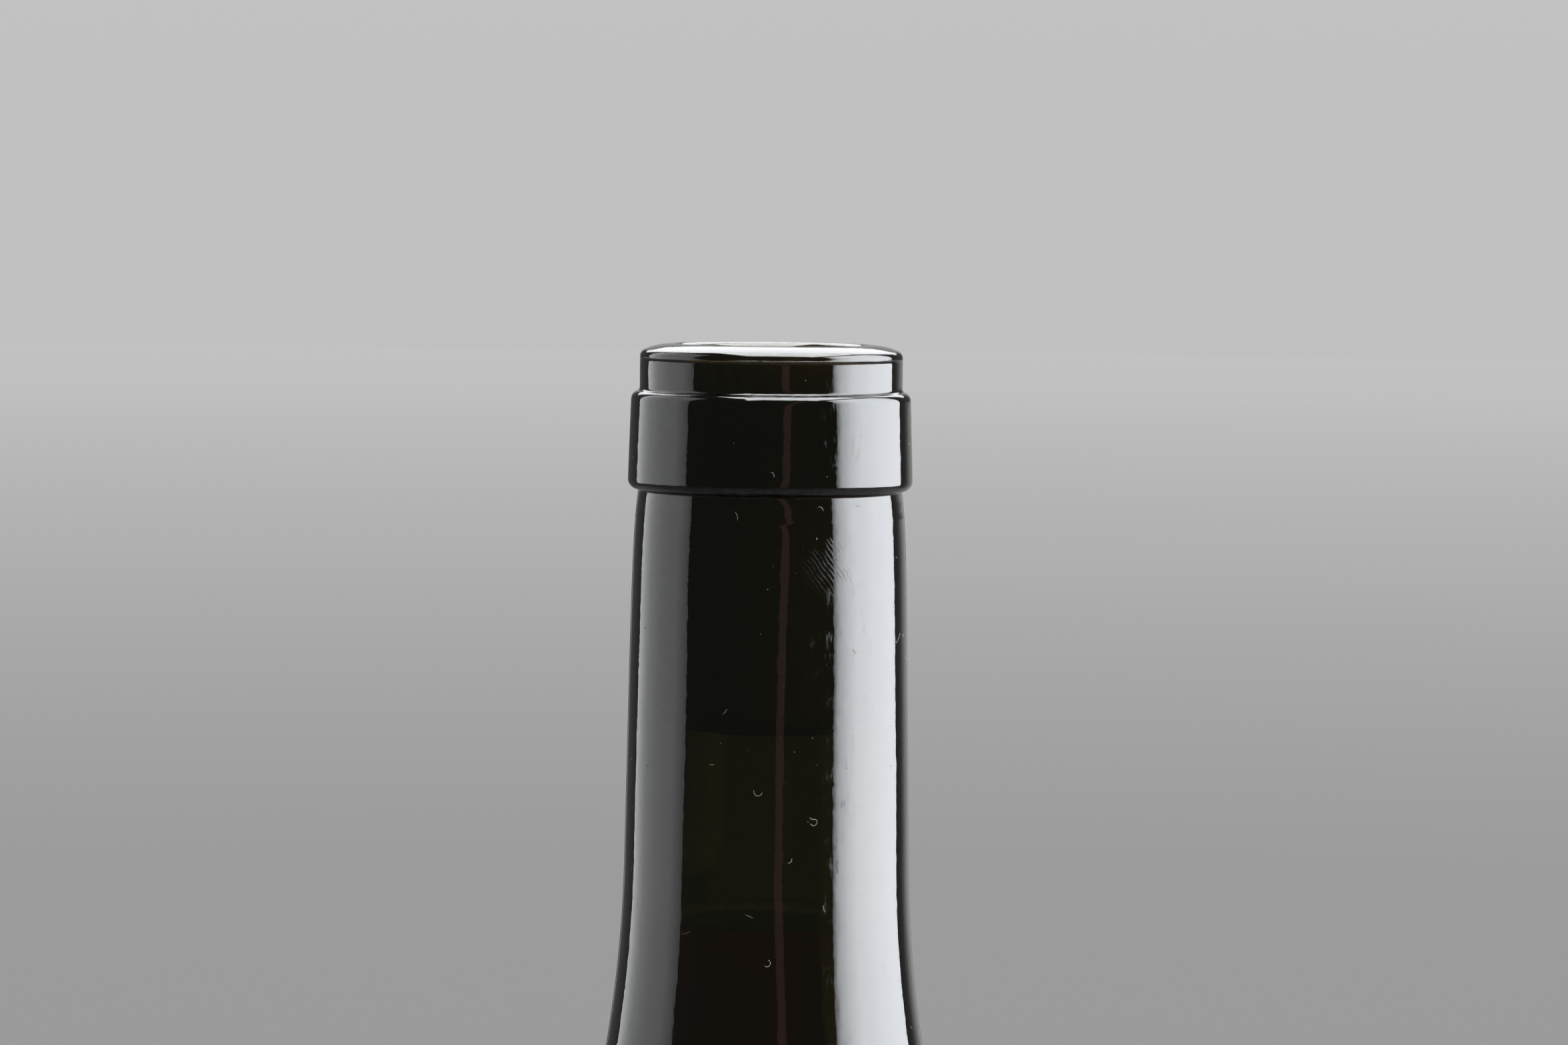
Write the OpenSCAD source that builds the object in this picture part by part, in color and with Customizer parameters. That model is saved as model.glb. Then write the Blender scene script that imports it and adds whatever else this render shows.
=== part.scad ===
// Wine bottle: sloping-shouldered glass bottle, full of wine and closed with a cork.
// Standing on its base ring, +Z up, origin at the centre of that ring. Millimetres.
// Heights of the mouth, neck, cork and wine are measured down from the top of the lip.

/* [Bottle] */
// Height from the table to the top of the lip
bottle_h = 296; // [276:1:356]
// Outer diameter of the straight part of the body
body_d = 82; // [68:0.5:99]
// Glass thickness of the body and shoulder
wall = 3.5; // [2.4:0.1:4.4]

/* [Shoulder and neck] */
// Depth below the lip at which the shoulder begins
neck_len = 54; // [44:1:66]
// Outer diameter of the neck where the shoulder begins
neck_low_d = 29.5; // [28:0.1:36]
// Outer diameter that the neck's taper would have under the band
neck_top_d = 28.1; // [26:0.1:34]
// How far the neck draws in just under the band
neck_waist = 0.46; // [0:0.02:0.6]
// Height over which that waist fades out
waist_len = 4; // [2:0.5:8]
// Radius of the hollow curve that leaves the neck
flare_r = 133; // [100:1:170]
// Radius of the full curve that meets the body
shoulder_r = 90; // [70:1:115]

/* [Mouth] */
// Outer diameter of the lip
lip_d = 27.2; // [24:0.1:33]
// Height of the lip above the band
lip_h = 4.5; // [3:0.1:7]
// Radius of the lip's crowned top
lip_crown_r = 7.5; // [5:0.1:12]
// Radius of the lip's outer edge
lip_edge_r = 0.8; // [0.4:0.1:1.6]
// How far the band stands out past the lip and the neck
band_out = 1.15; // [0.6:0.05:1.8]
// How much narrower the band's radius is at its top than at its widest
band_draft = 0.27; // [0:0.01:0.5]
// Height of the band
band_h = 10.6; // [7:0.1:14]
// Radius of the small hollow where the lip runs out into the band
band_hollow_r = 0.4; // [0.2:0.05:0.8]
// Radius of the band's upper edge
band_top_edge_r = 0.95; // [0.5:0.05:1.4]
// Radius of the band's lower edge
band_edge_r = 1.1; // [0.8:0.1:2]
// Bore at the mouth
mouth_d = 18.5; // [15.4:0.1:22.4]
// Bore where the shoulder begins
bore_low_d = 21; // [17:0.1:25.2]
// Radius of the mouth's inner edge
mouth_edge_r = 0.95; // [0.4:0.05:1.2]

/* [Base] */
// Radius of the heel
heel_r = 7; // [4:0.5:10]
// Width of the base ring, from the heel's rounding to the punt's flank
ring_w = 4; // [2.5:0.5:6]
// Rounding from the ring into the punt
punt_foot_r = 2.5; // [1:0.5:3.5]
// Depth of the punt
punt_h = 28; // [20:1:36]
// Radius of the punt's tip
punt_tip_r = 13; // [8:1:17]
// Glass thickness over the punt
punt_t = 5; // [3.5:0.1:7]
// Radius of the channel between the punt and the wall, inside
channel_r = 5; // [3.5:0.5:6]

/* [Cork] */
// Length of the cork
cork_len = 39; // [31:1:46]
// Depth of the cork's top below the lip
cork_recess = 0.5; // [0:0.5:3]
// Bevel of the cork's edges
cork_bevel = 0.4; // [0.2:0.1:1.2]

/* [Wine] */
// Depth of the wine's surface below the lip
fill_drop = 60; // [50:1:72]

/* [Hidden] */
$fn = 96;

glass_green = [0.13, 0.15, 0.06, 0.55];
cork_tan = [0.76, 0.58, 0.38];
wine_red = [0.24, 0.02, 0.05];

arc_step = 4;                         // degrees between points on an arc
same_point = 0.0001;                  // points nearer than this are one
reach = 5;                            // how far cutting outlines run past the glass

body_r = body_d / 2;
lip_r = lip_d / 2;
band_foot = lip_h + band_h;           // depth of the band's foot

// Points on an arc about [x, z], from angle a0 to a1, both ends included
function arc(x, z, r, a0, a1) =
    let (n = max(2, ceil(abs(a1 - a0) / arc_step)))
    [for (i = [0:n]) let (a = a0 + (a1 - a0) * i / n) [x + r * cos(a), z + r * sin(a)]];

// One outline from a list of stretches, without the points that two stretches share
function joined(stretches) =
    let (all = [for (stretch = stretches) each stretch])
    [for (i = [0:len(all) - 1]) if (i == 0 || norm(all[i] - all[i - 1]) > same_point) all[i]];

// Height of a place given by its depth below the lip
function up(depth) = bottle_h - depth;

// ---- Neck: a slow taper, drawn in a little under the band ----
neck_slope = (neck_low_d - neck_top_d) / 2 / (neck_len - band_foot);
function neck_r(depth) =
    neck_low_d / 2 - neck_slope * (neck_len - depth)
    - neck_waist * exp(-(depth - band_foot) / waist_len);

// ---- Bore: a straight taper from the mouth's inner edge, which the cork follows ----
bore_slope = (bore_low_d - mouth_d) / 2 / (neck_len - mouth_edge_r);
function bore_r(depth) = mouth_d / 2 + bore_slope * (depth - mouth_edge_r);

// ---- Shoulder: a hollow arc off the neck, then a full arc onto the body ----
// low_r: radius at the neck, slope: its taper there, r1 and r2: the two arcs, wide_r: the body
function shoulder_turn(low_r, slope, r1, r2, wide_r) =
    acos((r1 * cos(atan(slope)) + r2 - (wide_r - low_r)) / (r1 + r2));
function shoulder(low_r, slope, r1, r2, wide_r) =
    let (a = atan(slope),
         t = shoulder_turn(low_r, slope, r1, r2, wide_r),
         x1 = low_r + r1 * cos(a),
         z1 = up(neck_len) + r1 * sin(a),
         z2 = z1 - (r1 + r2) * sin(t))
    concat(arc(wide_r - r2, z2, r2, 0, t), arc(x1, z1, r1, 180 + t, 180 + a));

// ---- Punt: a cone with a round tip, whose flank starts at punt_r on the table ----
punt_r = body_r - heel_r - ring_w;
tip_z = punt_h - punt_tip_r;          // height of the tip's centre
punt_lean = atan(tip_z / punt_r) + asin(punt_tip_r / norm([punt_r, tip_z]));
// Where a line beside the flank, at a distance from it, passes a radius
function flank_z(dist, r) =
    dist * cos(punt_lean)
    + (punt_r + dist * sin(punt_lean) - r) * tan(punt_lean);
// The foot's rounding touches the table and the flank
foot_x = punt_r + punt_foot_r * tan(punt_lean / 2);

// ---- Lip: crowned top, rounded outer edge ----
crown_x = mouth_d / 2 + mouth_edge_r;
edge_x = lip_r - lip_edge_r;
crown_turn = asin((edge_x - crown_x) / (lip_crown_r - lip_edge_r));
edge_z = up(lip_crown_r) + (lip_crown_r - lip_edge_r) * cos(crown_turn);

// ---- Band: hollow and rounded top edge, drafted side, rounded lower edge ----
band_r = max(lip_r, neck_r(band_foot)) + band_out;
band_top_r = band_r - band_draft;
// The hollow and the top edge turn until they meet, or go flat and run in to each other
step_turn = acos(max(0, 1 - (band_top_r - lip_r) / (band_hollow_r + band_top_edge_r)));
band_top_z = up(lip_h) - (band_hollow_r + band_top_edge_r) * sin(step_turn);
// The lower edge turns until it meets the neck, or goes flat and runs in to it
band_turn = acos(max(0, 1 - (band_r - neck_r(band_foot)) / band_edge_r));
band_low_z = up(band_foot) + band_edge_r * sin(band_turn);

module outside() {
    polygon(joined([
        arc(0, tip_z, punt_tip_r, 90, 90 - punt_lean),
        arc(foot_x, punt_foot_r, punt_foot_r, 270 - punt_lean, 270),
        arc(body_r - heel_r, heel_r, heel_r, -90, 0),
        shoulder(neck_low_d / 2, neck_slope, flare_r, shoulder_r, body_r),
        [for (i = [1:24]) let (depth = neck_len + (band_foot - neck_len) * i / 24)
            [neck_r(depth), up(depth)]],
        arc(band_r - band_edge_r, band_low_z, band_edge_r, -band_turn, 0),
        arc(band_top_r - band_top_edge_r, band_top_z, band_top_edge_r, 0, step_turn),
        arc(lip_r + band_hollow_r, up(lip_h), band_hollow_r, 180 + step_turn, 180),
        arc(edge_x, edge_z, lip_edge_r, 0, 90 - crown_turn),
        arc(crown_x, up(lip_crown_r), lip_crown_r, 90 - crown_turn, 90),
        [[0, bottle_h]]
    ]));
}

channel_x = body_r - wall - channel_r;
channel_z = flank_z(punt_t + channel_r, channel_x);

module inside() {
    polygon(joined([
        arc(0, tip_z, punt_tip_r + punt_t, 90, 90 - punt_lean),
        arc(channel_x, channel_z, channel_r, 270 - punt_lean, 360),
        shoulder(bore_low_d / 2, bore_slope, flare_r + wall, shoulder_r - wall, body_r - wall),
        arc(crown_x, up(mouth_edge_r), mouth_edge_r, 180, 90),
        [[crown_x, up(-reach)], [0, up(-reach)]]
    ]));
}

module glass_bottle() {
    color(glass_green)
    rotate_extrude()
    difference() {
        outside();
        inside();
    }
}

// Pressed into the bore, so its side is the bore's own taper
cork_low = cork_recess + cork_len;
module cork() {
    color(cork_tan)
    rotate_extrude()
    polygon([
        [0, up(cork_low)],
        [bore_r(cork_low) - cork_bevel, up(cork_low)],
        [bore_r(cork_low - cork_bevel), up(cork_low - cork_bevel)],
        [bore_r(cork_recess + cork_bevel), up(cork_recess + cork_bevel)],
        [bore_r(cork_recess) - cork_bevel, up(cork_recess)],
        [0, up(cork_recess)]
    ]);
}

// Fills the bottle from the punt up to its level in the neck
module wine() {
    color(wine_red)
    rotate_extrude()
    intersection() {
        inside();
        square([body_r, up(fill_drop)]);
    }
}

glass_bottle();
cork();
wine();
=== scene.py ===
"""Corked wine bottle on a pale table: the looks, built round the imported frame. Metres."""
import math
import random

import bpy
from mathutils import Matrix, Vector


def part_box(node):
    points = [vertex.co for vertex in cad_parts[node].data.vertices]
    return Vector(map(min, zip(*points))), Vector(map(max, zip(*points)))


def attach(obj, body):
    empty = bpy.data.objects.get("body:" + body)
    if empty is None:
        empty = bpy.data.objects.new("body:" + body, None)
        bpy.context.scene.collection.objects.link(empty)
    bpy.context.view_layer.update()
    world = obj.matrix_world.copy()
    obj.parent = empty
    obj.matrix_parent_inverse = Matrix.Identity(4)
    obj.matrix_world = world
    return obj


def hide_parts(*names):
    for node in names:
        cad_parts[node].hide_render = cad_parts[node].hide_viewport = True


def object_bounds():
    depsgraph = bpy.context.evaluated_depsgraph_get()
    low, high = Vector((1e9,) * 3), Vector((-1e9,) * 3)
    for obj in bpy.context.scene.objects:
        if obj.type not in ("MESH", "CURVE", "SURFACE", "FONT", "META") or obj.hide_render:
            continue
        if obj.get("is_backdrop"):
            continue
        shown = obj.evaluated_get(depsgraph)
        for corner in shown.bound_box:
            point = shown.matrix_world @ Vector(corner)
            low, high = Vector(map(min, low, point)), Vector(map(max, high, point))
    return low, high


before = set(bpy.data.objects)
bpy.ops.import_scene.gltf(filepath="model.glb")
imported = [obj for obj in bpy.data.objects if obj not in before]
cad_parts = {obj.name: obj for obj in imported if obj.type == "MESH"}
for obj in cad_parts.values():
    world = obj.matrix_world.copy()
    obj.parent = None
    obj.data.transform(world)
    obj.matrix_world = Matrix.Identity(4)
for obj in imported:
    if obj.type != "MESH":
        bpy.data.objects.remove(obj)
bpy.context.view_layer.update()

# ---------------------------------------------------------------------------------------------
# The bottle. Dark olive-green soda-lime glass, blown in a two-part mould, so it carries the
# mould's seams: a ring under the crowned lip, a ring under the band, two lines up the sides.
# Its foot is a flat ring with stippling, round a deep conical punt.
# ---------------------------------------------------------------------------------------------
MM = 0.001
_, bottle_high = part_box("glass_bottle")
BODY_R = bottle_high.x
LIP_TOP = bottle_high.z

WALL = 3.5 * MM
NECK_LEN = 54 * MM                  # from the lip's top down to the shoulder
NECK_LOW_R = 14.75 * MM
NECK_TOP_R = 14.05 * MM
NECK_WAIST = 0.46 * MM
WAIST_LEN = 4 * MM
FLARE_R = 133 * MM
SHOULDER_R = 90 * MM
LIP_R = 13.6 * MM
LIP_H = 4.5 * MM
CROWN_R = 7.5 * MM
LIP_EDGE_R = 0.8 * MM
BAND_R = 14.75 * MM
BAND_TOP_R = 14.48 * MM
BAND_H = 10.6 * MM
BAND_HOLLOW_R = 0.4 * MM
BAND_TOP_EDGE_R = 0.95 * MM
BAND_EDGE_R = 1.1 * MM
MOUTH_R = 9.25 * MM
BORE_LOW_R = 10.5 * MM
MOUTH_EDGE_R = 0.95 * MM
HEEL_R = 7 * MM
PUNT_R = BODY_R - HEEL_R - 4 * MM   # where the punt's flank would meet the table
PUNT_FOOT_R = 2.5 * MM
PUNT_H = 28 * MM
PUNT_TIP_R = 13 * MM
PUNT_T = 5 * MM
CHANNEL_R = 5 * MM

LIP_SEAM = 1.44 * MM                # depth of the ring under the crowned lip
LIP_BEAD_R = 0.05 * MM              # radius of that ring's round
LIP_BEAD_IN = 0.02 * MM             # how far the round's centre lies inside the lip's side
LIP_BEAD_TURN = 1.16                # radians up and down from its widest
NECK_SEAM = 17.8 * MM               # depth of the ring under the band
NECK_SEAM_W = 0.25 * MM             # its half-width
NECK_SEAM_OUT = 0.025 * MM          # how far it stands out
SIDE_SEAM_W = 0.35 * MM             # half-width of the two lines up the sides
SIDE_SEAM_OUT = 0.07 * MM
SEAM_COLUMN = 0.0065                # radians between the mesh's columns beside them
BAND_STEP = 0.12 * MM               # depth of the small hollow where the band's foot meets the neck
STIPPLES = 64                       # raised ribs round the foot's ring
STIPPLE_H = 0.12 * MM


def arc(x, z, radius, start, end, count):
    """Points on an arc about (x, z), angles in radians, both ends included."""
    turns = [start + (end - start) * i / count for i in range(count + 1)]
    return [(x + radius * math.cos(a), z + radius * math.sin(a)) for a in turns]


def line(a, b, count):
    """Points between a and b, both ends left out."""
    return [(a[0] + (b[0] - a[0]) * i / count, a[1] + (b[1] - a[1]) * i / count)
            for i in range(1, count)]


def eased(before, corner, after, count=5):
    """A small curve that rounds a corner, from the point before it to the point after it."""
    points = []
    for i in range(count + 1):
        t = i / count
        points.append(tuple((1 - t) ** 2 * p + 2 * t * (1 - t) * q + t * t * s
                            for p, q, s in zip(before, corner, after)))
    return points


def shoulder(low_r, slope, hollow_r, full_r, wide_r, count):
    """From the body up: a full arc, then a hollow arc that runs into the neck."""
    lean = math.atan(slope)
    turn = math.acos((hollow_r * math.cos(lean) + full_r - (wide_r - low_r)) / (hollow_r + full_r))
    z1 = LIP_TOP - NECK_LEN + hollow_r * math.sin(lean)
    z2 = z1 - (hollow_r + full_r) * math.sin(turn)
    full = arc(wide_r - full_r, z2, full_r, 0, turn, count)
    hollow = arc(low_r + hollow_r * math.cos(lean), z1, hollow_r, math.pi + turn, math.pi + lean, count)
    return full + hollow[1:]


band_foot = LIP_H + BAND_H
neck_slope = (NECK_LOW_R - NECK_TOP_R) / (NECK_LEN - band_foot)
bore_slope = (BORE_LOW_R - MOUTH_R) / (NECK_LEN - MOUTH_EDGE_R)


def neck_r(depth):
    waist = NECK_WAIST * math.exp(-(depth - band_foot) / WAIST_LEN)
    return NECK_LOW_R - neck_slope * (NECK_LEN - depth) - waist


def bore_r(depth):
    return MOUTH_R + bore_slope * (depth - MOUTH_EDGE_R)


tip_z = PUNT_H - PUNT_TIP_R
punt_lean = math.atan2(tip_z, PUNT_R) + math.asin(PUNT_TIP_R / math.hypot(PUNT_R, tip_z))
foot_x = PUNT_R + PUNT_FOOT_R * math.tan(punt_lean / 2)
crown_x = MOUTH_R + MOUTH_EDGE_R
edge_x = LIP_R - LIP_EDGE_R
crown_turn = math.asin((edge_x - crown_x) / (CROWN_R - LIP_EDGE_R))
edge_z = LIP_TOP - CROWN_R + (CROWN_R - LIP_EDGE_R) * math.cos(crown_turn)
band_turn = math.acos(1 - (BAND_R - neck_r(band_foot)) / BAND_EDGE_R)
band_low_z = LIP_TOP - band_foot + BAND_EDGE_R * math.sin(band_turn)
step_turn = math.acos(1 - (BAND_TOP_R - LIP_R) / (BAND_HOLLOW_R + BAND_TOP_EDGE_R))
band_top_z = LIP_TOP - LIP_H - (BAND_HOLLOW_R + BAND_TOP_EDGE_R) * math.sin(step_turn)
QUARTER = math.pi / 2


def outside_profile():
    """The glass's outer line, from the punt's tip round the foot and up to the lip's crest."""
    tip = arc(0, tip_z, PUNT_TIP_R, QUARTER, QUARTER - punt_lean, 10)
    foot = arc(foot_x, PUNT_FOOT_R, PUNT_FOOT_R, 3 * QUARTER - punt_lean, 3 * QUARTER, 6)
    heel = arc(BODY_R - HEEL_R, HEEL_R, HEEL_R, -QUARTER, 0, 14)
    rise = shoulder(NECK_LOW_R, neck_slope, FLARE_R, SHOULDER_R, BODY_R, 30)
    points = tip + line(tip[-1], foot[0], 10) + foot + line(foot[-1], heel[0], 4) + heel
    points += line(heel[-1], rise[0], 26) + rise

    lowest = band_foot + BAND_STEP
    depths = [NECK_LEN + (lowest - NECK_LEN) * i / 44 for i in range(1, 45)]
    depths = [d for d in depths if abs(d - NECK_SEAM) > 1.5 * NECK_SEAM_W]
    depths += [NECK_SEAM + k * NECK_SEAM_W for k in (-1, -0.5, 0, 0.5, 1)]
    neck = [(neck_r(d), LIP_TOP - d) for d in sorted(depths, reverse=True)]
    band = arc(BAND_R - BAND_EDGE_R, band_low_z, BAND_EDGE_R, -band_turn, 0, 12)
    corner = (neck_r(band_foot), LIP_TOP - band_foot)
    points += neck[:-1] + eased(neck[-1], corner, band[3]) + band[4:]

    edge = arc(BAND_TOP_R - BAND_TOP_EDGE_R, band_top_z, BAND_TOP_EDGE_R, 0, step_turn, 10)
    hollow = arc(LIP_R + BAND_HOLLOW_R, LIP_TOP - LIP_H, BAND_HOLLOW_R,
                 2 * QUARTER + step_turn, 2 * QUARTER, 6)
    points += line(band[-1], edge[0], 10) + edge + hollow[1:]
    bead = arc(LIP_R - LIP_BEAD_IN, LIP_TOP - LIP_SEAM, LIP_BEAD_R, -LIP_BEAD_TURN, LIP_BEAD_TURN, 6)
    points += line(hollow[-1], bead[0], 8) + bead
    points += arc(edge_x, edge_z, LIP_EDGE_R, 0.12, QUARTER - crown_turn, 8)
    points += arc(crown_x, LIP_TOP - CROWN_R, CROWN_R, QUARTER - crown_turn, QUARTER, 12)[1:]
    return points


channel_x = BODY_R - WALL - CHANNEL_R
reach = PUNT_T + CHANNEL_R
channel_z = (reach * math.cos(punt_lean)
             + (PUNT_R + reach * math.sin(punt_lean) - channel_x) * math.tan(punt_lean))


def inside_profile():
    """The glass's inner line, from the inner tip over the punt and up the bore to the crest."""
    tip = arc(0, tip_z, PUNT_TIP_R + PUNT_T, QUARTER, QUARTER - punt_lean, 10)
    channel = arc(channel_x, channel_z, CHANNEL_R, 3 * QUARTER - punt_lean, 4 * QUARTER, 14)
    rise = shoulder(BORE_LOW_R, bore_slope, FLARE_R + WALL, SHOULDER_R - WALL, BODY_R - WALL, 24)
    mouth = arc(crown_x, LIP_TOP - MOUTH_EDGE_R, MOUTH_EDGE_R, 2 * QUARTER, QUARTER, 8)
    points = tip + line(tip[-1], channel[0], 6) + channel + line(channel[-1], rise[0], 14)
    return points + rise + line(rise[-1], mouth[0], 30) + mouth


def waves(seed, count, height, long, short):
    """A gentle unevenness of blown glass, round and up the bottle, as a function of both."""
    dice = random.Random(seed)
    terms = [(dice.randint(1, 6), 2 * math.pi / dice.uniform(short, long),
              dice.uniform(0, 2 * math.pi), dice.uniform(0.4, 1)) for _ in range(count)]
    total = sum(term[3] for term in terms)

    def wave(angle, z):
        swell = sum(a * math.sin(m * angle + k * z + p) for m, k, p, a in terms)
        return height * swell / total
    return wave


outer_wave = waves(3, 9, 0.05 * MM, 0.12, 0.025)
inner_wave = waves(8, 12, 0.22 * MM, 0.07, 0.012)


def seam_height(angle, r, z):
    """The two raised lines up the sides, which stop at the band's foot and above the heel."""
    from_line = abs(math.sin(angle)) * r
    if from_line > 3 * SIDE_SEAM_W or z < 1.5 * HEEL_R or z > LIP_TOP - band_foot:
        return 0
    return SIDE_SEAM_OUT * math.exp(-(from_line / SIDE_SEAM_W) ** 2)


def bump_at(x, z, size, height):
    """A little lump on the front of the glass, at a distance x to the right and a height z."""
    def bump(angle, r, at_z):
        away = math.hypot(r * math.cos(angle) - x, at_z - z)
        if away > 4 * size or math.sin(angle) > 0:
            return 0
        return height * math.exp(-(away / size) ** 2)
    return bump


# A little flaw on the lip's run-out into the band.
band_lump = bump_at(-2.3 * MM, LIP_TOP - 5.5 * MM, 0.45 * MM, 0.14 * MM)


def lathe(name, profile, columns, place):
    """Turns a profile whose first and last points lie on the axis into one closed mesh.
    place(row, angle, r, z) gives the point, so that each surface can be uneven."""
    rows = len(profile) - 2
    across = len(columns)
    verts = [(0, 0, profile[0][1])]
    for row, (r, z) in enumerate(profile[1:-1], 1):
        verts += [place(row, a, r, z) for a in columns]
    verts.append((0, 0, profile[-1][1]))
    last = len(verts) - 1
    faces = []
    for c in range(across):
        after = (c + 1) % across
        faces.append((0, 1 + after, 1 + c))
        for row in range(rows - 1):
            low = 1 + row * across
            high = low + across
            faces.append((low + c, low + after, high + after, high + c))
        top = 1 + (rows - 1) * across
        faces.append((top + c, top + after, last))
    mesh = bpy.data.meshes.new(name)
    mesh.from_pydata(verts, [], faces)
    mesh.shade_smooth()
    mesh.update()
    obj = bpy.data.objects.new(name, mesh)
    bpy.context.scene.collection.objects.link(obj)
    return obj


def columns_with_seams(even, extra):
    """Angles round the bottle, with a number of extra ones on each side of the two side seams."""
    angles = {round(2 * math.pi * i / even, 9) for i in range(even)}
    for side in (0, math.pi):
        for i in range(1, extra + 1):
            for sign in (-1, 1):
                angles.add(round((side + sign * i * SEAM_COLUMN) % (2 * math.pi), 9))
    return sorted(angles)


outer = outside_profile()
inner = inside_profile()
outer_rows = len(outer)


def glass_point(row, angle, r, z):
    """Makes the turned outline uneven: waves on both skins, and the mould's seams outside."""
    if row < outer_rows:
        swell = outer_wave(angle, z) if z > HEEL_R else 0
        if z > band_top_z:
            swell *= 0.4
        if z < LIP_TOP - CROWN_R:
            swell += seam_height(angle, r, z)
        from_seam = z - LIP_TOP + NECK_SEAM
        if abs(from_seam) < 1.2 * NECK_SEAM_W:
            swell += NECK_SEAM_OUT * math.cos(from_seam / NECK_SEAM_W * QUARTER)
        swell += band_lump(angle, r, z)
        if z < 0.3 * MM and foot_x < r < BODY_R - HEEL_R + 0.1 * MM:
            z += STIPPLE_H * (1 - math.cos(STIPPLES * angle))
    else:
        swell = inner_wave(angle, z) if z < LIP_TOP - 3 * MM else 0
    r += swell
    return r * math.cos(angle), r * math.sin(angle), z


bottle = lathe("bottle_glass", outer + inner[::-1][1:], columns_with_seams(240, 6), glass_point)


class Nodes:
    """A short way to lay out the nodes of one material, or of the room's light."""

    def __init__(self, name, shader="ShaderNodeBsdfPrincipled"):
        self.material = bpy.data.materials.new(name)
        self.begin(self.material, "ShaderNodeOutputMaterial", "Object")
        self.shader = self.add(shader)
        self.join(self.shader.outputs[0], self.out.inputs["Surface"])

    def begin(self, owner, output, coordinates):
        owner.use_nodes = True
        self.tree = owner.node_tree
        self.tree.nodes.clear()
        self.out = self.tree.nodes.new(output)
        self.place = self.add("ShaderNodeTexCoord").outputs[coordinates]

    def add(self, kind, values=(), **settings):
        node = self.tree.nodes.new(kind)
        for key, value in settings.items():
            setattr(node, key, value)
        for key, value in dict(values).items():
            if isinstance(value, bpy.types.NodeSocket):
                self.join(value, node.inputs[key])
            else:
                node.inputs[key].default_value = value
        return node

    def join(self, a, b):
        self.tree.links.new(a, b)

    def noise(self, scale, detail=2.0, rough=0.5, where=None):
        node = self.add("ShaderNodeTexNoise", {"Scale": scale, "Detail": detail, "Roughness": rough})
        self.join(where or self.place, node.inputs["Vector"])
        return node.outputs[0]

    def stretched(self, x, y, z):
        return self.add("ShaderNodeMapping", {"Vector": self.place, "Scale": (x, y, z)}).outputs[0]

    def ramp(self, value, low, high, start=0.0, end=1.0):
        node = self.add("ShaderNodeMapRange", {"Value": value, "From Min": low, "From Max": high,
                                               "To Min": start, "To Max": end},
                        interpolation_type="SMOOTHSTEP")
        return node.outputs[0]

    def math(self, operation, a, b=0.0):
        return self.add("ShaderNodeMath", {0: a, 1: b}, operation=operation).outputs[0]

    def blend(self, factor, a, b):
        node = self.add("ShaderNodeMix", {"Factor": factor}, data_type="RGBA")
        for index, value in ((6, a), (7, b)):
            if isinstance(value, bpy.types.NodeSocket):
                self.join(value, node.inputs[index])
            else:
                node.inputs[index].default_value = value
        return node.outputs[2]

    def near(self, centre, size):
        """1 close to a point, fading to 0 at that distance from it."""
        offset = self.add("ShaderNodeVectorMath", {0: self.place, 1: centre}, operation="DISTANCE")
        return self.ramp(offset.outputs["Value"], size, size * 0.3)


GLASS_TINT = (0.41, 0.37, 0.05, 1)
GLASS_DEPTH = 930.0                 # how fast the tint deepens, for each metre of glass
GLASS_IOR = 1.52
RIPPLE_H = 0.03 * MM
CLEAN = 0.008                       # roughness of clean glass
SMEARED = 0.035                     # how much rougher a smear is
RUBBED = 0.37                       # and a fingermark

glass = Nodes("dark_green_glass")
# Skin of the glass: a fine ripple left by the mould, and marks that dull the gloss.
ripple = glass.math("ADD", glass.math("MULTIPLY", glass.noise(420, 2, 0.5), 0.6),
                    glass.math("MULTIPLY", glass.noise(1500, 2, 0.6), 0.12))
skin = glass.add("ShaderNodeBump", {"Height": ripple, "Strength": 1.0, "Distance": RIPPLE_H})
smears = glass.ramp(glass.noise(38, 4, 0.65, glass.stretched(1, 1, 0.45)), 0.56, 0.78)
# A fingerprint, two wiped patches, and a rubbed strip up the neck beside them.
thumb = glass.near((6.2 * MM, -12.6 * MM, LIP_TOP - 21.5 * MM), 5.5 * MM)
drag = glass.near((7.5 * MM, -11.8 * MM, LIP_TOP - 30 * MM), 7 * MM)
grip = glass.near((7 * MM, -12.9 * MM, LIP_TOP - 9.5 * MM), 5.5 * MM)
ridges = glass.add("ShaderNodeTexWave", {"Vector": glass.place, "Scale": 900.0, "Distortion": 5.0,
                                         "Detail": 2.0, "Detail Scale": 0.5},
                   bands_direction="DIAGONAL").outputs[1]
streaks = glass.noise(1, 3, 0.7, glass.stretched(2600, 2600, 420))
across = glass.add("ShaderNodeSeparateXYZ", {"Vector": glass.place}).outputs
rubbed = glass.math("MULTIPLY", glass.ramp(across[0], 4.6 * MM, 6.4 * MM),
                    glass.math("MULTIPLY", glass.ramp(across[0], 12 * MM, 9 * MM),
                               glass.ramp(across[1], 0, -2 * MM)))
rubbed = glass.math("MULTIPLY", rubbed,
                    glass.ramp(across[2], LIP_TOP - 90 * MM, LIP_TOP - 60 * MM))
rubbed = glass.math("MULTIPLY", rubbed,
                    glass.ramp(glass.noise(150, 3, 0.6), 0.4, 0.6, 0.3, 0.9))
wiped = glass.math("MAXIMUM", glass.math("MAXIMUM", drag, grip), rubbed)
marks = glass.math("MAXIMUM", glass.math("MULTIPLY", thumb, glass.ramp(ridges, 0.4, 0.9, 0.0, 0.85)),
                   glass.math("MULTIPLY", wiped, glass.ramp(streaks, 0.48, 0.68)))
prints = glass.math("MULTIPLY", marks, glass.ramp(glass.noise(420, 3, 0.6), 0.42, 0.62))
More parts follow.
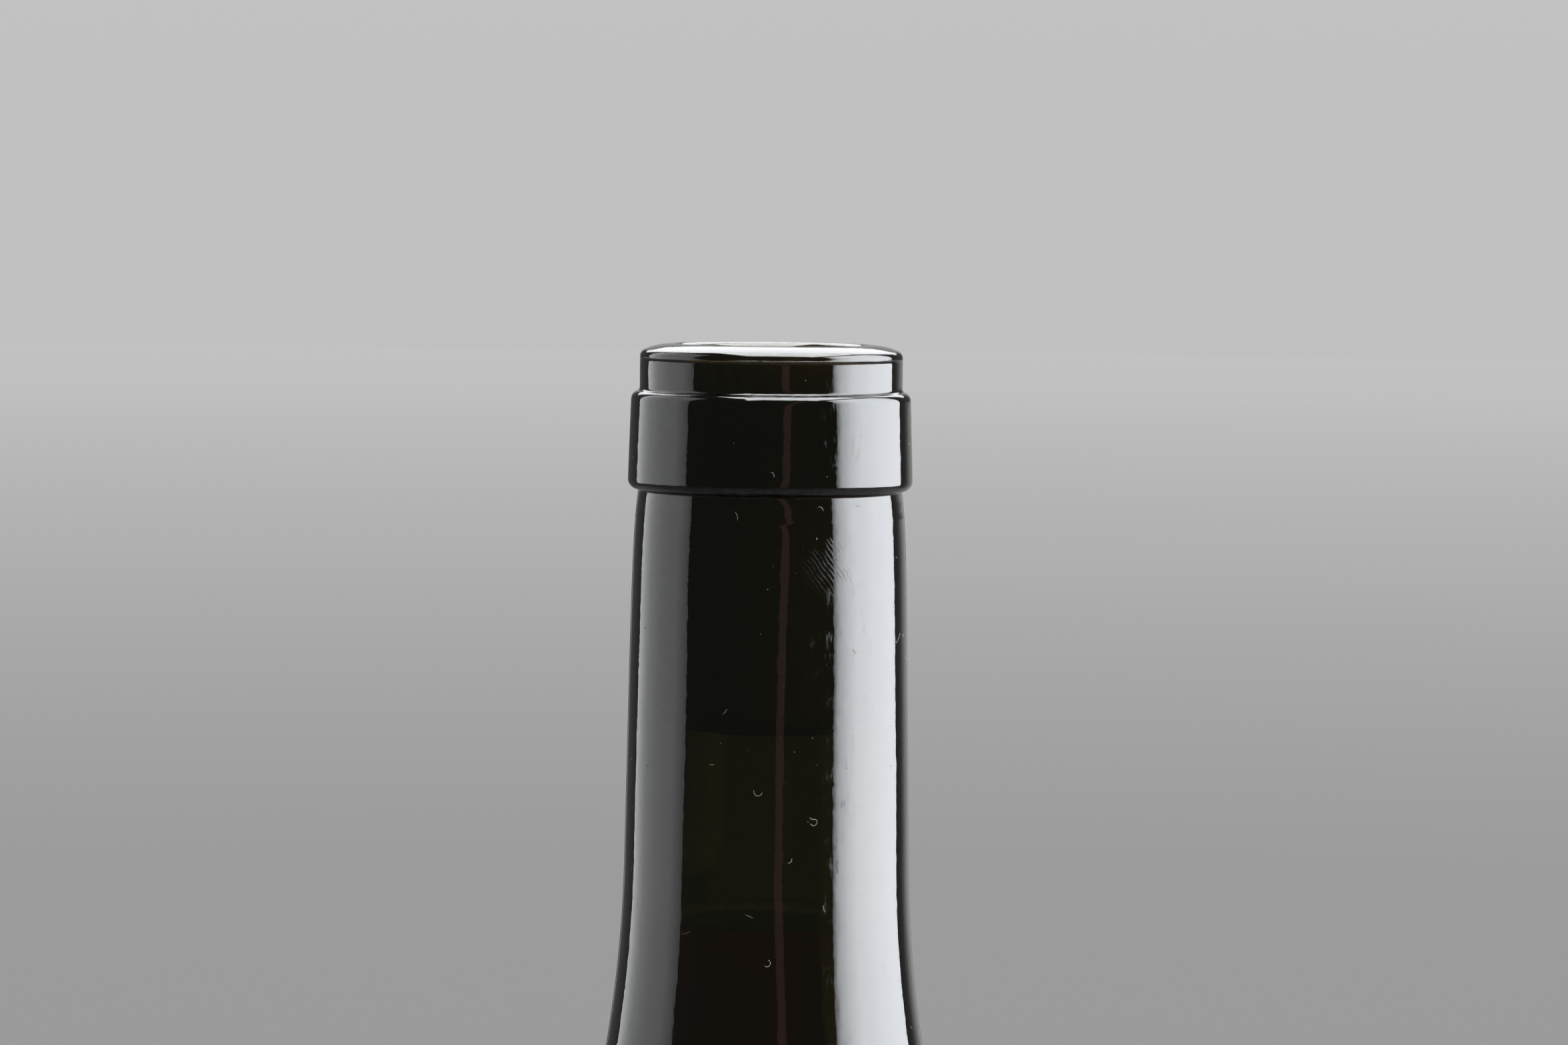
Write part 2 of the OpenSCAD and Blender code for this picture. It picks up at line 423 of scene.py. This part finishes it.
dull = glass.math("ADD", glass.math("MULTIPLY", smears, SMEARED),
                  glass.math("MULTIPLY", prints, RUBBED))
rough = glass.math("ADD", dull, CLEAN)
glass.join(rough, glass.shader.inputs["Roughness"])
glass.join(skin.outputs[0], glass.shader.inputs["Normal"])
glass.shader.inputs["Base Color"].default_value = (1, 1, 1, 1)
glass.shader.inputs["Transmission Weight"].default_value = 1.0
glass.shader.inputs["IOR"].default_value = GLASS_IOR
glass_depth = glass.add("ShaderNodeVolumeAbsorption", {"Color": GLASS_TINT, "Density": GLASS_DEPTH})
glass.join(glass_depth.outputs[0], glass.out.inputs["Volume"])
bottle.data.materials.append(glass.material)

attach(bottle, "root")
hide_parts("glass_bottle")

# ---------------------------------------------------------------------------------------------
# The wine. Dark red, poured in to its level in the neck. It wets the glass, so it climbs a
# little way up the wall all round, and it reaches just into the wall so that no air shows.
# ---------------------------------------------------------------------------------------------
_, wine_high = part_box("wine")
INTO_WALL = 0.06 * MM               # how far the wine and the cork reach into the glass
CLIMB = 0.9 * MM                    # how far the wine's edge climbs up the glass
CLIMB_REACH = 1.1 * MM              # how far from the wall that climb fades
SURFACE_POINTS = 25                 # from the wall to the middle
WINE_TINT = (0.96, 0.44, 0.05, 1)
WINE_DEPTH = 290.0                  # how fast the tint deepens, for each metre of wine
WINE_IOR = 1.345


def wine_profile():
    """Over the punt, up the wall to the climbing edge, then in across the surface."""
    level = wine_high.z
    edge = level + CLIMB
    wall = [p for p in inner if p[1] < edge and (p[1] < level - 4 * MM or p[0] > BORE_LOW_R)]
    wall_r = bore_r(NECK_LEN)
    for (r0, z0), (r1, z1) in zip(inner, inner[1:]):
        if z0 <= edge < z1 and r0 < BODY_R / 2:
            wall_r = r0 + (r1 - r0) * (edge - z0) / (z1 - z0)
    surface = []
    for i in range(SURFACE_POINTS):
        off = wall_r * (i / (SURFACE_POINTS - 1)) ** 1.8
        surface.append((wall_r - off, level + CLIMB * math.exp(-off / CLIMB_REACH)))
    return wall + [(wall_r + INTO_WALL, edge)] + surface


def wine_point(row, angle, r, z):
    """Follows the unevenness of the glass's inner skin, fading towards the surface's middle."""
    if row < wine_wall_rows:
        r += inner_wave(angle, z) + INTO_WALL
    else:
        r += inner_wave(angle, z) * (r / BORE_LOW_R) ** 6
    return r * math.cos(angle), r * math.sin(angle), z


wine_line = wine_profile()
wine_wall_rows = len(wine_line) - SURFACE_POINTS - 1
wine = lathe("red_wine", wine_line, columns_with_seams(160, 0), wine_point)

drink = Nodes("clear_red_wine")
drink.shader.inputs["Base Color"].default_value = (1, 1, 1, 1)
drink.shader.inputs["Transmission Weight"].default_value = 1.0
drink.shader.inputs["IOR"].default_value = WINE_IOR
drink.join(drink.ramp(drink.noise(90, 2, 0.5), 0.3, 0.8, 0.0, 0.01), drink.shader.inputs["Roughness"])
drink_depth = drink.add("ShaderNodeVolumeAbsorption", {"Color": WINE_TINT, "Density": WINE_DEPTH})
drink.join(drink_depth.outputs[0], drink.out.inputs["Volume"])
wine.data.materials.append(drink.material)

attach(wine, "root")
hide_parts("wine")

# ---------------------------------------------------------------------------------------------
# The cork. One piece of natural cork, punched from bark, squeezed into the bore until its top
# lies just under the lip. Its pores show as dark slots, and the wine has stained its lower end.
# ---------------------------------------------------------------------------------------------
cork_low, cork_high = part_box("cork")
CORK_BEVEL = 0.4 * MM
dice = random.Random(21)
# Pits in its two ends: place across and along, width, depth.
cork_pits = [(dice.uniform(-8.5, 8.5) * MM, dice.uniform(-8.5, 8.5) * MM,
              dice.uniform(0.25, 0.9) * MM, dice.uniform(0.15, 0.55) * MM) for _ in range(46)]
cork_swell = waves(14, 14, 0.16 * MM, 0.02, 0.003)


def cork_profile():
    """From the middle of the lower end, round the side, to the middle of the top."""
    low, high = cork_low.z, cork_high.z
    low_r = bore_r(LIP_TOP - low) - CORK_BEVEL
    high_r = bore_r(LIP_TOP - high) - CORK_BEVEL
    points = [(low_r * i / 16, low) for i in range(17)]
    points += [(bore_r(LIP_TOP - low - CORK_BEVEL), low + CORK_BEVEL)]
    for i in range(1, 40):
        z = low + CORK_BEVEL + (high - low - 2 * CORK_BEVEL) * i / 40
        points.append((bore_r(LIP_TOP - z), z))
    points += [(bore_r(LIP_TOP - high + CORK_BEVEL), high - CORK_BEVEL)]
    points += [(high_r * i / 40, high) for i in range(40, -1, -1)]
    return points


def cork_point(row, angle, r, z):
    """Pits the two ends, and fits the side to the bore's unevenness."""
    x, y = r * math.cos(angle), r * math.sin(angle)
    on_end = z > cork_high.z - 0.1 * MM or z < cork_low.z + 0.1 * MM
    if on_end:
        sunk = 0.06 * MM * math.sin(x / MM * 1.9 + 1.3 * math.sin(y / MM * 0.8))
        for px, py, width, depth in cork_pits:
            away = ((x - px) / (2.2 * width)) ** 2 + ((y - py) / width) ** 2
            if away < 6:
                sunk += depth * math.exp(-away)
        ease = min(1, (bore_r(LIP_TOP - z) - CORK_BEVEL - r) / MM + 0.25)
        z += -sunk * ease if z > cork_low.z + MM else sunk * ease
    else:
        r += inner_wave(angle, z) * (z < LIP_TOP - 3 * MM) + INTO_WALL
        if z < cork_low.z + 2 * CORK_BEVEL:
            r -= abs(cork_swell(angle, z)) * 1.5
        x, y = r * math.cos(angle), r * math.sin(angle)
    return x, y, z


cork = lathe("cork_stopper", cork_profile(), columns_with_seams(150, 0), cork_point)

bark = Nodes("natural_cork")
height = bark.add("ShaderNodeSeparateXYZ", {"Vector": bark.place}).outputs[2]
grain = bark.noise(900, 4, 0.7)
years = bark.add("ShaderNodeTexWave", {"Vector": bark.stretched(1, 0.35, 0.1), "Scale": 170.0,
                                       "Distortion": 5.0, "Detail": 3.0, "Detail Scale": 1.4}).outputs[1]
tan = bark.blend(grain, (0.42, 0.245, 0.12, 1), (0.62, 0.43, 0.25, 1))
tan = bark.blend(bark.math("MULTIPLY", years, 0.35), tan, (0.38, 0.22, 0.11, 1))
cells = bark.add("ShaderNodeTexVoronoi", {"Vector": bark.stretched(0.45, 1, 1), "Scale": 480.0,
                                          "Randomness": 1.0}).outputs[0]
slots = bark.math("MULTIPLY", bark.ramp(cells, 0.30, 0.12),
                  bark.ramp(bark.noise(260, 2, 0.5), 0.5, 0.62))
on_top = bark.ramp(height, cork_high.z - 1.2 * MM, cork_high.z - 0.4 * MM, 0.4, 1.0)
tan = bark.blend(bark.math("MULTIPLY", slots, on_top), tan, (0.10, 0.045, 0.02, 1))
wetness = bark.ramp(bark.math("ADD", height, bark.math("MULTIPLY", bark.noise(240, 3, 0.6), 3 * MM)),
                    cork_low.z + 4.6 * MM, cork_low.z + 2.2 * MM)
tan = bark.blend(wetness, tan, (0.085, 0.012, 0.022, 1))
bark.join(tan, bark.shader.inputs["Base Color"])
bark.join(bark.ramp(wetness, 0, 1, 0.85, 0.35), bark.shader.inputs["Roughness"])
relief = bark.math("SUBTRACT", bark.math("MULTIPLY", grain, 0.4), slots)
bump = bark.add("ShaderNodeBump", {"Height": relief, "Strength": 0.8, "Distance": 0.2 * MM})
bark.join(bump.outputs[0], bark.shader.inputs["Normal"])
cork.data.materials.append(bark.material)

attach(cork, "root")
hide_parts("cork")

# ---------------------------------------------------------------------------------------------
# Dust and lint. Specks of house dust and short curled fibres that cling to the dry glass,
# each a real scrap lying on the surface.
# ---------------------------------------------------------------------------------------------
FIBRE_R = 0.02 * MM
STRAY_FIBRES = 90
SPECKS = 1500
front_line = [(r, z) for r, z in outer if z > HEEL_R]


def glass_surface(angle, z, off=0.0):
    """A point on the outer glass at an angle and a height, standing off it by a distance."""
    for (r0, z0), (r1, z1) in zip(front_line, front_line[1:]):
        if z0 <= z <= z1 and z1 > z0:
            r = r0 + (r1 - r0) * (z - z0) / (z1 - z0)
            break
    else:
        r = LIP_R
    r += outer_wave(angle, z) + off
    return Vector((r * math.cos(angle), r * math.sin(angle), z))


def add_tube(verts, faces, path, radius, sides=5):
    """A thin closed tube along a path."""
    first = len(verts)
    for i, here in enumerate(path):
        ahead = path[min(i + 1, len(path) - 1)] - path[max(i - 1, 0)]
        out = Vector((here.x, here.y, 0)).normalized()
        side = ahead.cross(out).normalized()
        up = side.cross(ahead).normalized()
        taper = 0.5 if i in (0, len(path) - 1) else 1.0
        for k in range(sides):
            a = 2 * math.pi * k / sides
            verts.append(here + (side * math.cos(a) + up * math.sin(a)) * radius * taper)
    for i in range(len(path) - 1):
        for k in range(sides):
            a = first + i * sides + k
            b = first + i * sides + (k + 1) % sides
            faces.append((a, b, b + sides, a + sides))
    faces.append(tuple(range(first + sides - 1, first - 1, -1)))
    faces.append(tuple(range(len(verts) - sides, len(verts))))


def fibre_path(dice, x, z, length, curl):
    """A curled line on the glass from a place on the front, given across and up."""
    angle = -QUARTER + math.asin(max(-0.98, min(0.98, x / NECK_LOW_R)))
    heading = dice.uniform(0, 2 * math.pi)
    bend = dice.choice((-1, 1)) * curl
    steps = max(10, int(length / (0.08 * MM)))
    path = []
    for i in range(steps + 1):
        lift = 0.02 * MM + 0.06 * MM * abs(math.sin(3 * math.pi * i / steps)) * dice.uniform(0.5, 1)
        path.append(glass_surface(angle, z, lift))
        heading += bend * (length / steps) * dice.uniform(0.3, 1.8)
        if dice.random() < 0.03:
            bend = -bend
        angle += math.cos(heading) * length / steps / NECK_LOW_R
        z += math.sin(heading) * length / steps
    return path


def scraps():
    """The placed fibres, more fibres scattered all round, and small flat specks."""
    dice = random.Random(77)
    verts, faces = [], []
    # Across from the middle, depth below the lip and length in millimetres, then curl.
    placed = [(4.5, 48.0, 2.0, 2600), (-1.3, 44.6, 1.4, 2300), (0.0, 62.3, 1.2, 2600),
              (-4.2, 36.5, 0.7, 1500), (6.0, 57.0, 0.7, 1500), (2.6, 51.5, 0.7, 2500),
              (-3.4, 17.4, 0.9, 1000), (0.4, 13.0, 0.7, 2200), (8.8, 30.5, 0.7, 1500),
              (-2.4, 5.0, 1.0, 3600), (5.2, 16.1, 0.9, 2600), (9.4, 15.9, 0.7, 2600)]
    for x, depth, length, curl in placed:
        path = fibre_path(dice, x * MM, LIP_TOP - depth * MM, length * MM, curl)
        add_tube(verts, faces, path, FIBRE_R)
    for _ in range(STRAY_FIBRES):
        angle = dice.uniform(0, 2 * math.pi)
        z = dice.uniform(20 * MM, LIP_TOP - 8 * MM)
        path = []
        heading = dice.uniform(0, 2 * math.pi)
        bend = dice.uniform(-1, 1) * 900
        length = dice.uniform(0.4, 1.6) * MM
        steps = max(6, int(length / (0.1 * MM)))
        for i in range(steps + 1):
            here = glass_surface(angle, z, 0.03 * MM)
            path.append(here)
            heading += bend * length / steps * dice.uniform(0.2, 1.5)
            angle += math.cos(heading) * length / steps / math.hypot(here.x, here.y)
            z += math.sin(heading) * length / steps
        add_tube(verts, faces, path, dice.uniform(0.010, 0.018) * MM)
    for _ in range(SPECKS):
        angle = dice.uniform(0, 2 * math.pi)
        z = dice.uniform(9 * MM, LIP_TOP - 3 * MM)
        size = 0.014 * MM / max(0.06, dice.random()) ** 0.6
        here = glass_surface(angle, z, size * 0.3)
        out = Vector((math.cos(angle), math.sin(angle), 0))
        side = Vector((-math.sin(angle), math.cos(angle), 0))
        up = Vector((0, 0, 1))
        first = len(verts)
        around = 6
        for k in range(around):
            a = 2 * math.pi * k / around
            reach_out = size * dice.uniform(0.6, 1.2)
            verts.append(here + (side * math.cos(a) + up * math.sin(a)) * reach_out)
        verts.append(here + out * size * 0.7)
        verts.append(here - out * size * 0.5)
        for k in range(around):
            a, b = first + k, first + (k + 1) % around
            faces.append((a, b, first + around))
            faces.append((b, a, first + around + 1))
    mesh = bpy.data.meshes.new("dust_and_lint")
    mesh.from_pydata([tuple(v) for v in verts], [], faces)
    mesh.update()
    obj = bpy.data.objects.new("dust_and_lint", mesh)
    bpy.context.scene.collection.objects.link(obj)
    return obj


dust = scraps()
lint = Nodes("grey_dust")
lint.join(lint.blend(lint.noise(2500, 2, 0.6), (0.22, 0.213, 0.2, 1), (0.5, 0.486, 0.472, 1)),
          lint.shader.inputs["Base Color"])
lint.join(lint.ramp(lint.noise(4000, 1, 0.5), 0, 1, 0.75, 1.0), lint.shader.inputs["Roughness"])
dust.data.materials.append(lint.material)
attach(dust, "root")

# ---------------------------------------------------------------------------------------------
# The table and the room. A wide pale table: matt paint near the bottle, then a glowing sheet of painted
# light that grows brighter into the pale distance. What the glass mirrors is darker: painted shade and a
# painted reflection of the room on the table, and a dark room with a pale wall behind.
# ---------------------------------------------------------------------------------------------
TABLE_R = 12.0
rings = [0.0, 0.05, 0.1, 0.2, 0.4, 0.8, 1.2, 1.6, 2.2, 3.0, 4.5, 7.0, TABLE_R]
verts = [(0, 0, 0)]
faces = []
AROUND = 96
for ring in rings[1:]:
    for k in range(AROUND):
        a = 2 * math.pi * k / AROUND
        verts.append((ring * math.cos(a), ring * math.sin(a), 0))
for k in range(AROUND):
    faces.append((0, 1 + k, 1 + (k + 1) % AROUND))
    for i in range(len(rings) - 2):
        low = 1 + i * AROUND
        after = (k + 1) % AROUND
        faces.append((low + k, low + AROUND + k, low + AROUND + after, low + after))
table_mesh = bpy.data.meshes.new("pale_table")
table_mesh.from_pydata(verts, [], faces)
table = bpy.data.objects.new("pale_table", table_mesh)
bpy.context.scene.collection.objects.link(table)

BACK_WALL = (0.42, 0.42, 0.42, 1)   # what the bottle sees behind it, between the wall's ends
DARK_SIDES = (0.11, 0.11, 0.11, 1)  # on either side of it
DARK_FRONT = (0.108, 0.119, 0.09, 1)  # and in front of it, where the room has an olive cast


def wall_glow(nodes, x, y, length, z):
    """The light of the room in one direction, as the bottle sees it: a pale wall straight
    behind, which reaches further round low down on the right, and a dark room elsewhere."""
    across = nodes.math("DIVIDE", x, length)
    left = nodes.ramp(across, -0.26, -0.10)
    right_high = nodes.ramp(across, 0.30, 0.12)
    right_low = nodes.ramp(across, 0.66, 0.40)
    low_down = nodes.ramp(z, 0.04, -0.06)
    right = nodes.math("MAXIMUM", right_high, nodes.math("MULTIPLY", right_low, low_down))
    facing = nodes.ramp(y, 0.0, 0.05)
    under = nodes.ramp(z, 0.5, 0.25)
    glow = nodes.math("MULTIPLY", nodes.math("MULTIPLY", left, right),
                      nodes.math("MULTIPLY", facing, under))
    in_front = nodes.ramp(nodes.math("DIVIDE", y, length), -0.2, -0.7)
    return nodes.blend(glow, nodes.blend(in_front, DARK_SIDES, DARK_FRONT), BACK_WALL)


paint = Nodes("pale_paint_and_painted_glow", "ShaderNodeMixShader")
distance = paint.add("ShaderNodeVectorMath", {0: paint.place}, operation="LENGTH").outputs["Value"]
spot = paint.add("ShaderNodeSeparateXYZ", {"Vector": paint.place}).outputs
# Painted light: the far table glows, darker near the bottle and brighter towards the distance, as the
# camera sees it.
painted_falloff = paint.add("ShaderNodeValToRGB", {"Fac": paint.math("DIVIDE", distance, TABLE_R)})
painted_glow_stops = painted_falloff.color_ramp.elements
for i, (away, tone) in enumerate([(0, 0.32), (1, 0.539), (0.14, 0.328), (0.2, 0.368), (0.31, 0.428),
                                  (0.47, 0.478), (0.7, 0.525)]):
    stop = painted_glow_stops[i] if i < 2 else painted_glow_stops.new(away)
    stop.color = (tone, tone, tone * 0.995, 1)
to_eye = paint.add("ShaderNodeLightPath").outputs["Is Camera Ray"]
# Painted reflection: to every ray but the camera's, the far table glows with the room's light, a dark
# room with a pale wall behind.
painted_room_reflection = wall_glow(paint, spot[0], spot[1], distance, -0.1)
far = paint.add("ShaderNodeEmission", {"Color": paint.blend(to_eye, painted_room_reflection, painted_falloff.outputs[0])})
top_coat = paint.blend(paint.ramp(paint.noise(3.0, 3, 0.5), 0.3, 0.7), (0.39, 0.39, 0.388, 1),
                       (0.408, 0.408, 0.405, 1))
# Painted shade: to the glass's reflections and to bounced light, the near table shows a much darker copy
# of its paint than the camera sees.
painted_reflection_shade = (0.165, 0.165, 0.165, 1)
near = paint.add("ShaderNodeBsdfDiffuse", {"Color": paint.blend(to_eye, painted_reflection_shade, top_coat)})
# The near paint gives way to the far glow of painted light, and has gone by 1.15 m, where the side lamps
# stand.
paint.join(paint.ramp(distance, 0.5, 1.15), paint.shader.inputs["Fac"])
paint.join(near.outputs[0], paint.shader.inputs[1])
paint.join(far.outputs[0], paint.shader.inputs[2])
table.data.materials.append(paint.material)
table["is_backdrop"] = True


class Room(Nodes):
    """The nodes of the room's light, laid out in the same way."""

    def __init__(self, name):
        world = bpy.data.worlds.new(name)
        bpy.context.scene.world = world
        self.begin(world, "ShaderNodeOutputWorld", "Generated")


room = Room("room")
look = room.add("ShaderNodeSeparateXYZ", {"Vector": room.place}).outputs
level = room.math("SQRT", room.math("SUBTRACT", 1.0, room.math("MULTIPLY", look[2], look[2])))
unlit = wall_glow(room, look[0], look[1], level, look[2])
pale = room.ramp(look[2], 0.0, 0.3, 0.53, 0.60)
shade = room.blend(room.add("ShaderNodeLightPath").outputs["Is Camera Ray"], unlit, pale)
sky = room.add("ShaderNodeBackground", {"Color": shade, "Strength": 1.0})
room.join(sky.outputs[0], room.out.inputs[0])

# ---------------------------------------------------------------------------------------------
# The lamps. A tall bright softbox on the right and a tall dim one on the left make the two
# upright streaks, and a warm panel between them a thin third. One overhead, with one behind it,
# lights the lip and the band's top edge, and a soft ceiling lights what is matt.
# ---------------------------------------------------------------------------------------------


def lamp_panel(name, corner, along, up, stops, tint):
    """A glowing sheet that the camera doesn't see and that casts no shadow. stops are (share of
    its length, brightness) pairs, from the corner along its first side."""
    corner, along, up = Vector(corner), Vector(along), Vector(up)
    mesh = bpy.data.meshes.new(name)
    mesh.from_pydata([corner, corner + along, corner + along + up, corner + up], [], [(0, 1, 2, 3)])
    panel = bpy.data.objects.new(name, mesh)
    bpy.context.scene.collection.objects.link(panel)
    panel.visible_camera = panel.visible_shadow = False
    glow = Nodes(name + "_glow", "ShaderNodeEmission")
    offset = glow.add("ShaderNodeVectorMath", {0: glow.place, 1: corner}, operation="SUBTRACT")
    share = glow.add("ShaderNodeVectorMath", {0: offset.outputs[0], 1: along / along.length_squared},
                     operation="DOT_PRODUCT").outputs["Value"]
    brightest = max(value for _, value in stops)
    spread = glow.add("ShaderNodeValToRGB", {"Fac": share})
    ends = spread.color_ramp.elements
    for i, (where, value) in enumerate(stops):
        stop = ends[i] if i < 2 else ends.new(where)
        stop.position = where
        stop.color = [value / brightest] * 3 + [1]
    colour = glow.add("ShaderNodeMix", {"Factor": 1.0}, data_type="RGBA", blend_type="MULTIPLY")
    glow.join(spread.outputs[0], colour.inputs[6])
    colour.inputs[7].default_value = (*tint, 1)
    glow.join(colour.outputs[2], glow.shader.inputs["Color"])
    glow.shader.inputs["Strength"].default_value = brightest
    mesh.materials.append(glow.material)
    panel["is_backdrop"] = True
    return panel


SIDE = 1.15                         # distance of the side lamps from the bottle
TALL = 1.7
DAYLIGHT = (0.93, 0.96, 1.0)
COOL = (0.97, 0.985, 1.0)
WARM = (1.0, 0.61, 0.52)


def side_lamp(name, side, stops, tint):
    """An upright lamp on one side. stops are (degrees round from straight in front of the
    bottle, brightness) pairs."""
    def along_wall(degrees):
        return -SIDE / math.tan(math.radians(degrees))
    start, end = along_wall(stops[0][0]), along_wall(stops[-1][0])
    shares = [((along_wall(a) - start) / (end - start), value) for a, value in stops]
    lamp_panel(name, (side * SIDE, start, 0.001), (0, end - start, 0), (0, 0, TALL), shares, tint)


side_lamp("right_softbox", 1, [(55, 1.5), (60, 7.5), (68, 10.7), (78, 13.0), (98, 11.8),
                               (118, 8.3), (131, 5.4)], DAYLIGHT)
side_lamp("left_softbox", -1, [(71, 0.85), (75, 1.2), (84, 1.68), (102, 1.6), (118, 1.7),
                               (130, 2.25), (136, 2.4)], COOL)
top = lamp_panel("top_softbox", (-0.55, -1.0, 1.9), (0, 1.75, 0), (1.6, 0, 0),
                 [(0, 12.0), (1, 12.0)], COOL)
back = lamp_panel("back_softbox", (-1.0, 1.9, 0.85), (0, -0.95, 1.25), (2.0, 0, 0),
                  [(0, 2.4), (1, 8.0)], COOL)
top.visible_diffuse = back.visible_diffuse = False
ceiling = lamp_panel("soft_ceiling", (-1.2, -1.2, 2.2), (0, 2.4, 0), (2.4, 0, 0),
                     [(0, 1.4), (1, 1.4)], COOL)
ceiling.visible_glossy = ceiling.visible_transmission = False
lamp_panel("warm_stand", (0.078, -1.05, 0.001), (0.12, 0, 0), (0.42, 0, 1.2),
           [(0, 0.34), (1, 0.42)], WARM)

# ---------------------------------------------------------------------------------------------
# The camera. A long lens close by, a little above the bottle's mouth, tipped slightly down and
# leaning a little to one side.
# ---------------------------------------------------------------------------------------------
EYE = Vector((1.47 * MM, -0.4505, LIP_TOP + 10.43 * MM))
PITCH = math.radians(-3.67)
LEAN = math.radians(0.6)
camera_data = bpy.data.cameras.new("camera")
camera_data.lens = 100
camera_data.sensor_width = 36
camera_data.clip_start = 0.02
camera_data.clip_end = 60
camera = bpy.data.objects.new("camera", camera_data)
camera.matrix_world = (Matrix.Translation(EYE) @ Matrix.Rotation(math.radians(90) + PITCH, 4, "X")
                       @ Matrix.Rotation(LEAN, 4, "Z"))
bpy.context.scene.collection.objects.link(camera)
bpy.context.scene.camera = camera
bpy.context.scene.view_settings.view_transform = "Standard"

low, high = (list(corner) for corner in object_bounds())
